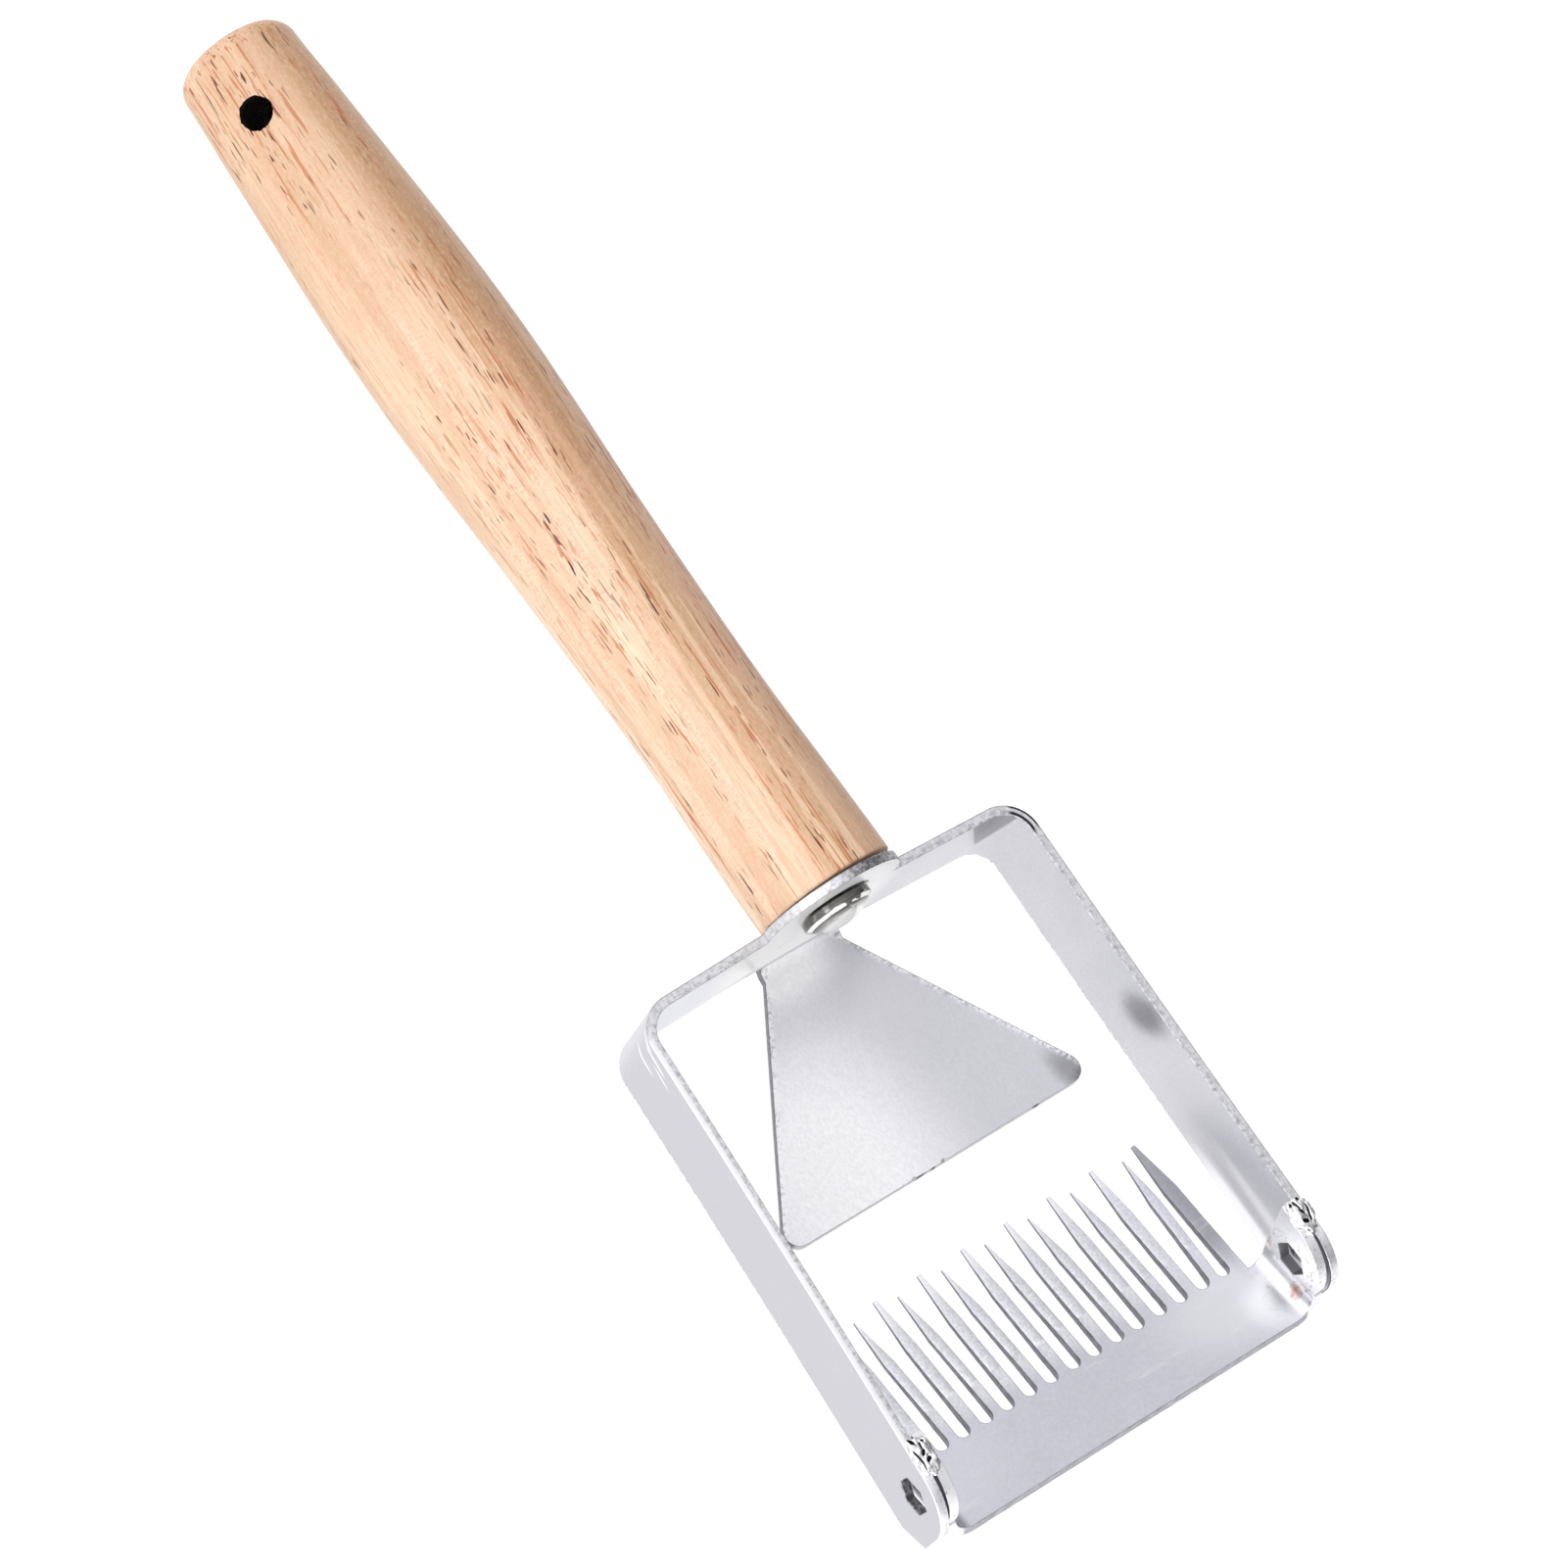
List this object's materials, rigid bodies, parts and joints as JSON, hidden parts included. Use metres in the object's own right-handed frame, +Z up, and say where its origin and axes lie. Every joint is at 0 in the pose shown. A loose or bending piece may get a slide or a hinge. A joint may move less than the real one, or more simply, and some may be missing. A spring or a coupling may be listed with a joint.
{
  "type": "uncapping knife",
  "caption": "Hand-held beekeeping uncapping tool: a bent sheet-steel bow with a comb of tines across its open end and a flared guide plate inside it, screwed to a turned wooden handle.",
  "frame": {"origin": "centre of the bounding box in plan, on the plane of its lowest point, the tine tips", "axes": "+X from the handle to the comb, +Y to the user's left, +Z up, away from the guide plate's working face"},
  "size_m": [0.3056, 0.0924, 0.0451],
  "materials": {
    "wood": "satin clear lacquer",
    "steel": "satin sheet with sheared edges",
    "comb_steel": "satin sheet with ground tines",
    "screw_steel": "polished dome head",
    "weld_steel": "bright bead with dark specks"
  },
  "bodies": {
    "root": {"handle": "wood", "bow_frame": "steel", "comb_plate": "comb_steel", "handle_screw": "screw_steel", "left_weld": "weld_steel", "right_weld": "weld_steel"}
  },
  "joints": []
}
